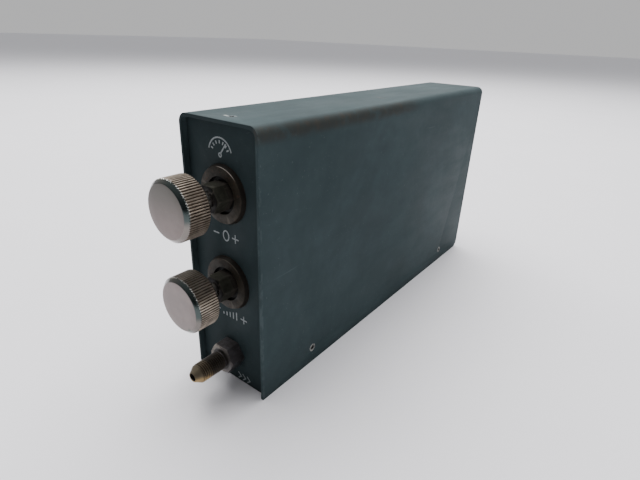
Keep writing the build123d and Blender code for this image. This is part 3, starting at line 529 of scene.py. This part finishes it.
SLOT_MATERIALS = {
    "painted_steel": paint("slate_paint"),
    "plated_steel": metal("dull_zinc", (0.5, 0.49, 0.45), (0.26, 0.24, 0.2), (0.36, 0.55)),
    "knob_metal": metal("knob_metal", (0.45, 0.42, 0.4), (0.3, 0.27, 0.24), (0.34, 0.46)),
    "aged_steel": metal("aged_steel", (0.34, 0.32, 0.29), (0.06, 0.05, 0.04), (0.38, 0.6),
                        (0.38, 0.66)),
    "grimy_brass": metal("grimy_brass", (0.36, 0.27, 0.15), (0.09, 0.07, 0.045), (0.32, 0.55)),
    "brass": metal("turned_brass", (0.62, 0.45, 0.2), (0.35, 0.24, 0.1), (0.25, 0.4)),
    "stainless": metal("ground_stainless", (0.42, 0.41, 0.39), (0.2, 0.17, 0.14), (0.24, 0.4)),
    "ptfe": plastic("ptfe", (0.78, 0.78, 0.75), 0.45),
    "block_aluminium": metal("milled_aluminium", (0.6, 0.61, 0.62), (0.42, 0.42, 0.41),
                             (0.28, 0.42), stretch=(8, 1, 1)),
    "sintered_bronze": metal("sintered_bronze", (0.42, 0.29, 0.15), (0.2, 0.13, 0.07),
                             (0.5, 0.75), grain=1800),
    "black_plastic": plastic("black_plastic", (0.025, 0.025, 0.027), 0.5),
    "board_green": plastic("board_green", (0.015, 0.11, 0.04), 0.28),
    "capacitor_blue": plastic("capacitor_sleeve", (0.02, 0.06, 0.2), 0.3),
    "nylon_tube": plastic("nylon_tube", (0.6, 0.62, 0.58), 0.32),
    "cable_sheath": plastic("cable_sheath", (0.06, 0.06, 0.065), 0.55),
}
# the cover's paint carries grime and wear, and painted shade on its front edge
COVER_PAINT = paint("worn_shaded_slate_paint", worn_and_shaded=True)
# a darker copy of the slate paint: painted shade on the panels
SHADED_PANEL_PAINT = paint("panel_shaded_slate_paint", PANEL_SHADE_TONE)
NODE_MATERIALS = {"cover_screws": cover_screw_steel()}
INK_MATERIAL = ink()
SLOT_OF = {part["node"]: part["material_slot"] for part in frame["record"]["subparts"]}


def finish_cad_nodes():
    """Give every CAD node its slot's procedural material."""
    for name, node in frame["nodes"].items():
        material = NODE_MATERIALS.get(name, SLOT_MATERIALS[SLOT_OF[name]])
        if not node.material_slots:
            node.data.materials.append(material)
        for slot in node.material_slots:
            slot.material = material


# ---- mesh helpers -------------------------------------------------------------------
def add_object(name, data):
    """Object at the origin, in the scene."""
    made = bpy.data.objects.new(name, data)
    bpy.context.scene.collection.objects.link(made)
    return made


def add_piece(name, mesh, material, body, replaces, sharp):
    """Smooth-shaded piece that rides on a body and may stand for a CAD node."""
    mesh.shade_smooth()
    mesh.set_sharp_from_angle(angle=radians(sharp))
    mesh.materials.append(material)
    piece = add_object(name, mesh)
    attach(piece, body)
    if replaces:
        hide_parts(replaces)


def new_piece(name, points, faces, material, body="case", replaces=None, sharp=35):
    """Piece from points and faces, with its faces turned outwards."""
    mesh = bpy.data.meshes.new(name)
    mesh.from_pydata(points, [], faces)
    shaped = bmesh.new()
    shaped.from_mesh(mesh)
    bmesh.ops.recalc_face_normals(shaped, faces=shaped.faces)
    shaped.to_mesh(mesh)
    shaped.free()
    add_piece(name, mesh, material, body, replaces, sharp)


def spun(rings, z, steps, closed=False):
    """Points and faces around a front-to-back axis. Each ring is (y, radius), where the
    radius may be a function of the angle; a radius of 0 is one point on the axis."""
    points, rows = [], []
    for y, radius in rings:
        if radius == 0:
            rows.append([len(points)] * steps)
            points.append((0.0, y, z))
            continue
        rows.append(list(range(len(points), len(points) + steps)))
        for step in range(steps):
            angle = 2 * pi * step / steps
            reach = radius(angle) if callable(radius) else radius
            points.append((reach * cos(angle), y, z + reach * sin(angle)))
    faces = []
    pairs = list(zip(rows, rows[1:]))
    if closed:
        pairs.append((rows[-1], rows[0]))
    for low, high in pairs:
        for step in range(steps):
            after = (step + 1) % steps
            corners = [low[step], low[after], high[after], high[step]]
            unique = list(dict.fromkeys(corners))
            if len(unique) > 2:
                faces.append(unique)
    return points, faces


def capped(shape, limit):
    """Radius function of a shape turned down to a limit."""
    def radius(angle):
        return min(shape(angle), limit)
    return radius


def hexagon(across_flats, corner_r):
    """Radius function of a hexagon with corners on +X and -X, rounded off at corner_r."""
    def radius(angle):
        off = (angle + pi / 6) % (pi / 3) - pi / 6
        return min(across_flats / 2 / cos(pi / 6 - abs(off)), corner_r)
    return radius


def joined(*parts):
    """One list of points and one of faces from several."""
    points, faces = [], []
    for part_points, part_faces in parts:
        base = len(points)
        points += part_points
        faces += [[base + corner for corner in face] for face in part_faces]
    return points, faces


# ---- knobs, rings and nuts ----------------------------------------------------------
def knurl(tip):
    """Radius function of straight rounded teeth."""
    def radius(angle):
        phase = (angle * KNURL_TEETH / (2 * pi)) % 1.0
        valley = max(0.0, 1 - abs(phase - 0.5) / KNURL_VALLEY)
        return tip - KNURL_DEPTH * (valley ** 0.8)
    return radius


def build_knob(valve):
    """Knurled knob: faced front with a broken edge, long chamfer, straight knurl and bore."""
    low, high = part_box(valve + "_knob")
    z, front, back, tip = AXIS_Z[valve], low.y, high.y, high.x
    rim = tip - KNOB_CHAMFER
    teeth = knurl(tip)
    rings = [(front, 0), (front, rim * 0.3), (front, rim * 0.65), (front, rim - 0.25 * MM),
             (front + 0.03 * MM, rim - 0.1 * MM), (front + 0.12 * MM, rim + 0.04 * MM)]
    for step in range(1, 9):
        along = 0.2 * MM + (KNOB_CHAMFER - 0.2 * MM) * step / 8
        rings.append((front + along, capped(teeth, rim + along)))
    full = back - front - KNOB_CHAMFER - KNOB_BACK_CHAMFER
    for share in (0.2, 0.4, 0.6, 0.8):
        rings.append((front + KNOB_CHAMFER + full * share, teeth))
    for step in range(5):
        along = KNOB_BACK_CHAMFER * (1 - step / 4)
        rings.append((back - along, capped(teeth, tip - KNOB_BACK_CHAMFER + along)))
    rings += [(back, tip - 2 * KNOB_BACK_CHAMFER), (back, STEM_R + 1.6 * MM),
              (back, STEM_R + 0.3 * MM), (back - 0.3 * MM, STEM_R),
              (back - KNOB_BORE_DEPTH, STEM_R), (back - KNOB_BORE_DEPTH, 0)]
    points, faces = spun(rings, z, KNURL_TEETH * STEPS_PER_TOOTH)
    new_piece(valve + "_knurled_knob", points, faces, knob_metal(valve),
              valve + "_knob_and_stem", valve + "_knob", 24)


def build_ring(valve, steel):
    """Dress ring with a long outer bevel and a deep recess for the gland nut."""
    low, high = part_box(valve + "_dress_ring")
    z, front, outer = AXIS_Z[valve], low.y, high.x
    floor = high.y - RING_FLOOR
    rim = outer - RING_BEVEL
    rings = [(high.y, RING_BORE_R), (high.y, outer),
             (front + RING_BEVEL_LENGTH + 0.1 * MM, outer),
             (front + RING_BEVEL_LENGTH - 0.1 * MM, outer - 0.05 * MM),
             (front + 0.2 * MM, rim + 0.05 * MM), (front + 0.07 * MM, rim - 0.02 * MM),
             (front, rim - 0.15 * MM), (front, RING_RECESS_R + 1.2 * MM),
             (front, RING_RECESS_R + 0.4 * MM), (front + 0.08 * MM, RING_RECESS_R + 0.14 * MM),
             (front + 0.35 * MM, RING_RECESS_R), (floor, RING_RECESS_R),
             (floor, RING_BORE_R)]
    points, faces = spun(rings, z, RING_STEPS, closed=True)
    new_piece(valve + "_ring", points, faces, steel, replaces=valve + "_dress_ring")


def chamfered_hex(start, stop, across_flats, corner_r, turned_r):
    """Rings of a hexagon bar from its outer end at y = start to its inner one at stop, with
    its corners turned down to turned_r at the outer end."""
    way = 1 if stop > start else -1
    shape = hexagon(across_flats, corner_r)
    slope = (across_flats / sqrt(3) - turned_r) * HEX_CHAMFER_SLOPE
    rings = []
    for step in range(5):
        rings.append((start + way * slope * step / 4,
                      capped(shape, turned_r + (corner_r - turned_r) * step / 4)))
    for share in (0.3, 0.6, 1.0):
        rings.append((start + (stop - start) * share, shape))
    return rings


def build_bonnet(valve, steel):
    """Long hexagon gland nut, with its front corners turned down and a countersunk bore."""
    low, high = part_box(valve + "_bonnet_nut")
    front, back = low.y, high.y
    corner = (high.x - low.x) / 2 - HEX_CORNER_ROUNDING
    bore, inner = STEM_R + STEM_GAP, front + BONNET_FACE_T
    rings = [(front + 1.2 * MM, bore), (front + 0.3 * MM, bore), (front, STEM_R + 0.6 * MM),
             (front, BONNET_AF / 2 - 0.35 * MM)]
    rings += chamfered_hex(front, back, BONNET_AF, corner, BONNET_AF / 2 - 0.1 * MM)
    rings += [(back, BONNET_BORE_R), (inner, BONNET_BORE_R), (inner, bore)]
    points, faces = spun(rings, AXIS_Z[valve], BONNET_STEPS, closed=True)
    new_piece(valve + "_gland_nut", points, faces, steel, replaces=valve + "_bonnet_nut")


# ---- flare ports --------------------------------------------------------------------
def thread(crest, depth, y):
    """Radius function of a helical thread where it crosses one y value."""
    def radius(angle):
        phase = (y / THREAD_PITCH + angle / (2 * pi)) % 1.0
        ridge = abs(phase - 0.5) * 2
        return crest - depth * min(1.0, max(0.0, (ridge - 0.12) / 0.76))
    return radius


def build_port(node):
    """Flare fitting: hexagon on the panel, relief neck, helical thread and coned nose."""
    low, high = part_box(node)
    out = -1 if low.y < 0 else 1
    face = PANEL_FACE if out < 0 else REAR_FACE
    tail = high.y if out < 0 else low.y
    corner = (high.x - low.x) / 2 - HEX_CORNER_ROUNDING

    def at(reach):
        """The y value that stands this far out of the panel."""
        return face + out * reach

    rings = [(at(NOSE_END - 4 * MM), PASSAGE_R), (at(NOSE_END - 0.3 * MM), PASSAGE_R),
             (at(NOSE_END), PASSAGE_R + 0.25 * MM), (at(NOSE_END), NOSE_R - 0.25 * MM),
             (at(NOSE_END - 0.1 * MM), NOSE_R)]
    nose_base_r = THREAD_R - 0.25 * MM
    for step in range(1, NOSE_STEPS + 1):
        reach = NOSE_END - 0.1 * MM - (NOSE_END - NOSE_START) * step / NOSE_STEPS
        rings.append((at(reach), NOSE_R + (nose_base_r - NOSE_R) * step / NOSE_STEPS))
    thread_start = NOSE_START - 0.35 * MM
    thread_stop = PORT_HEX_T + PORT_RELIEF
    for step in range(THREAD_RINGS + 1):
        reach = thread_start + (thread_stop - thread_start) * step / THREAD_RINGS
        run_in = min(1.0, (thread_start - reach) / THREAD_FADE)
        run_out = min(1.0, max(0.0, (reach - thread_stop) / THREAD_FADE))
        crest = THREAD_R - 0.3 * MM * (1 - run_in)
        depth = THREAD_DEPTH * max(0.25, run_in) * (0.4 + 0.6 * run_out)
        rings.append((at(reach), thread(crest, depth, at(reach))))
    rings += [(at(thread_stop - 0.1 * MM), PORT_RELIEF_R),
              (at(PORT_HEX_T + 0.15 * MM), PORT_RELIEF_R),
              (at(PORT_HEX_T), PORT_RELIEF_R + 0.15 * MM),
              (at(PORT_HEX_T), PORT_HEX_AF / 2 - 0.3 * MM)]
    rings += chamfered_hex(at(PORT_HEX_T), face, PORT_HEX_AF, corner,
                           PORT_HEX_AF / 2 + 0.2 * MM)
    rings += [(face, THREAD_R), (tail, THREAD_R), (tail, TUBE_R),
              (tail + out * TUBE_DEPTH, TUBE_R), (tail + out * TUBE_DEPTH, PASSAGE_R)]
    points, faces = spun(rings, PORT_Z, PORT_STEPS, closed=True)
    new_piece(node.replace("_fitting", "") + "_threaded", points, faces,
              port_brass(node + "_brass", PORT_Z, face, out), replaces=node, sharp=40)


# ---- sheet metal --------------------------------------------------------------------
def softened_copy(node, name, material, width):
    """The node's own shape with its coplanar triangles joined and its edges rounded."""
    shaped = bmesh.new()
    shaped.from_mesh(frame["nodes"][node].data)
    bmesh.ops.remove_doubles(shaped, verts=shaped.verts, dist=1e-7)
    bmesh.ops.dissolve_limit(shaped, angle_limit=radians(0.5), verts=shaped.verts,
                             edges=shaped.edges)
    crisp = [edge for edge in shaped.edges
             if len(edge.link_faces) == 2 and edge.calc_face_angle(0) > radians(40)]
    bmesh.ops.bevel(shaped, geom=crisp, offset=width, segments=2, profile=0.5,
                    affect="EDGES", clamp_overlap=True)
    bmesh.ops.triangulate(shaped, faces=[face for face in shaped.faces if len(face.verts) > 4])
    mesh = bpy.data.meshes.new(name)
    shaped.to_mesh(mesh)
    shaped.free()
    add_piece(name, mesh, material, "case", node, 50)


# ---- printed marks ------------------------------------------------------------------
def ribbon(path, width, closed=False):
    """Outline of a pen stroke along a path of (x, z) points, with mitred corners."""
    left, right = [], []
    count = len(path)
    for place, (x, z) in enumerate(path):
        before = path[place - 1] if place or closed else None
        after = path[(place + 1) % count] if place < count - 1 or closed else None
        ways = [(b[0] - a[0], b[1] - a[1]) for a, b in
                ((before, (x, z)), ((x, z), after)) if a is not None and b is not None]
        units = [(dx / hypot(dx, dz), dz / hypot(dx, dz)) for dx, dz in ways]
        dx, dz = (sum(unit[axis] for unit in units) / len(units) for axis in (0, 1))
        size = max(0.35, dx * dx + dz * dz)
        off = width / 2 / size
        left.append((x - dz * off, z + dx * off))
        right.append((x + dz * off, z - dx * off))
    return left, right


def mark(name, strokes):
    """Raised ink: every stroke, a path and whether it is closed, is a thin solid strip."""
    parts = []
    for path, closed in strokes:
        left, right = ribbon(path, PEN, closed)
        count = len(path)
        points = [(x * MM, y, z * MM) for y in (PANEL_FACE - INK, PANEL_FACE)
                  for side in (left, right) for x, z in side]
        faces = []
        for place in range(count if closed else count - 1):
            after = (place + 1) % count
            a, b, c, d = place, after, count + after, count + place
            lift = 2 * count
            faces += [[a, b, c, d], [a + lift, b + lift, c + lift, d + lift],
                      [a, b, b + lift, a + lift], [d, c, c + lift, d + lift]]
        if not closed:
            for place in (0, count - 1):
                faces.append([place, count + place, count + place + 2 * count,
                              place + 2 * count])
        parts.append((points, faces))
    points, faces = joined(*parts)
    new_piece(name, points, faces, INK_MATERIAL)


def arc(x, z, radius, start, stop, steps=28):
    return [(x + radius * cos(radians(start + (stop - start) * step / steps)),
             z + radius * sin(radians(start + (stop - start) * step / steps)))
            for step in range(steps + 1)]


def circle(x, z, radius_x, radius_z=None, steps=32):
    tall = radius_z or radius_x
    return [(x + radius_x * cos(2 * pi * step / steps), z + tall * sin(2 * pi * step / steps))
            for step in range(steps)]


def line(*path):
    """One open stroke."""
    return path, False


def plus(x, z):
    """Strokes of a plus sign. The upright is in two halves, to leave the bar's ink alone."""
    reach, gap = 2.1, 0.35
    return [line((x - reach, z), (x + reach, z)), line((x, z + gap), (x, z + reach)),
            line((x, z - gap), (x, z - reach))]


def build_marks():
    """Plain symbols where the panel carries its printing. Sizes here are millimetres."""
    x, z = DIAL
    dial = [(arc(x, z, 7.1, 14, 166), False), (circle(x, z - 0.2, 0.8, steps=14), True),
            line((-0.85, 118.1), (2.4, 122.3))]
    for angle in (25, 45, 67, 90, 113, 135, 155):
        dial.append(line(*[(x + reach * cos(radians(angle)), z + reach * sin(radians(angle)))
                           for reach in (4.6, 6.0)]))
    mark("mark_dial", dial)
    z = 80.5
    mark("mark_zero", [line((-8.8, z), (-5.0, z)), (circle(-0.4, z, 1.8, 2.4), True)]
         + plus(5.6, z))
    z, foot = 38.9, 36.7
    bars = [line((x, foot), (x, foot + tall))
            for x, tall in ((-5.2, 1.3), (-2.9, 2.1), (-0.6, 2.9), (1.7, 3.7), (4.0, 4.5))]
    mark("mark_span", [line((-11.0, z), (-7.6, z))] + bars + plus(8.9, z))
    arrows = [line((x - 1.1, 4.9), (x + 1.0, 3.0), (x - 1.1, 1.1)) for x in (4.4, 7.6, 10.8)]
    mark("mark_air", arrows + [(circle(-10.4, 3.0, 1.9), True)])


# ---- stage, light and camera --------------------------------------------------------
def build_stage():
    s = Shader("pale_floor")
    color = s.mix(s.noise(12, 3, 0.5), (0.7, 0.69, 0.72), (0.74, 0.73, 0.76))
    mesh = bpy.data.meshes.new("floor")
    half = FLOOR_HALF
    mesh.from_pydata([(-half, -half, 0), (half, -half, 0), (half, half, 0), (-half, half, 0)],
                     [], [(0, 1, 2, 3)])
    mesh.materials.append(s.finish(color, 0.7))
    add_object("floor", mesh)


def build_world():
    """Soft sky that is brighter towards the upper rear. The camera itself sees one plain
    backdrop grey, which lights nothing."""
    world = bpy.data.worlds.new("studio")
    world.use_nodes = True
    nodes, link = world.node_tree.nodes, world.node_tree.links.new
    sky = nodes["Background"]
    sky.inputs["Color"].default_value = (*SKY, 1)
    towards = nodes.new("ShaderNodeVectorMath")
    towards.operation = "DOT_PRODUCT"
    towards.inputs[1].default_value = SKY_BRIGHT_WAY
    link(nodes.new("ShaderNodeTexCoord").outputs["Generated"], towards.inputs[0])
    ramp = nodes.new("ShaderNodeMapRange")
    for key, value in (("From Min", -0.7), ("From Max", 0.9), ("To Min", 0.02),
                       ("To Max", 0.85)):
        ramp.inputs[key].default_value = value
    link(towards.outputs["Value"], ramp.inputs["Value"])
    link(ramp.outputs["Result"], sky.inputs["Strength"])
    backdrop = nodes.new("ShaderNodeBackground")
    backdrop.inputs["Color"].default_value = (*BACKDROP, 1)
    chosen = nodes.new("ShaderNodeMixShader")
    link(nodes.new("ShaderNodeLightPath").outputs["Is Camera Ray"], chosen.inputs[0])
    link(sky.outputs[0], chosen.inputs[1])
    link(backdrop.outputs[0], chosen.inputs[2])
    link(chosen.outputs[0], nodes["World Output"].inputs["Surface"])
    bpy.context.scene.world = world


def build_lamp():
    """One large soft area light, above and behind, aimed at the object."""
    data = bpy.data.lights.new("overhead", "AREA")
    data.shape = "RECTANGLE"
    data.size, data.size_y = LAMP_SIZE
    data.energy = LAMP_WATTS
    lamp = add_object("overhead", data)
    lamp.location = LAMP_PLACE
    lamp.rotation_euler = (-Vector(LAMP_PLACE)).to_track_quat("-Z", "Y").to_euler()


def build_camera():
    data = bpy.data.cameras.new("camera")
    data.lens = CAMERA_LENS
    data.clip_start = 0.01
    camera = add_object("camera", data)
    camera.location = CAMERA_PLACE
    camera.rotation_euler = [radians(angle) for angle in CAMERA_ANGLES]
    bpy.context.scene.camera = camera


build_camera()
build_stage()
build_world()
build_lamp()
finish_cad_nodes()
for valve_name in AXIS_Z:
    # the ring and nut material carries oxide, painted shade and a painted highlight
    oxide_and_shade = ring_steel(valve_name)
    build_knob(valve_name)
    build_ring(valve_name, oxide_and_shade)
    build_bonnet(valve_name, oxide_and_shade)
for fitting in ("gauge_port_fitting", "supply_port_fitting"):
    build_port(fitting)
for node_name, piece_name, finish, rounding in (
        ("cover", "folded_cover", COVER_PAINT, COVER_ROUNDING),
        ("front_panel", "front_plate", SHADED_PANEL_PAINT, PLATE_ROUNDING),
        ("rear_panel", "rear_plate", SHADED_PANEL_PAINT, PLATE_ROUNDING),
        ("chassis_tray", "floor_tray", SLOT_MATERIALS["plated_steel"], PLATE_ROUNDING)):
    softened_copy(node_name, piece_name, finish, rounding)
build_marks()
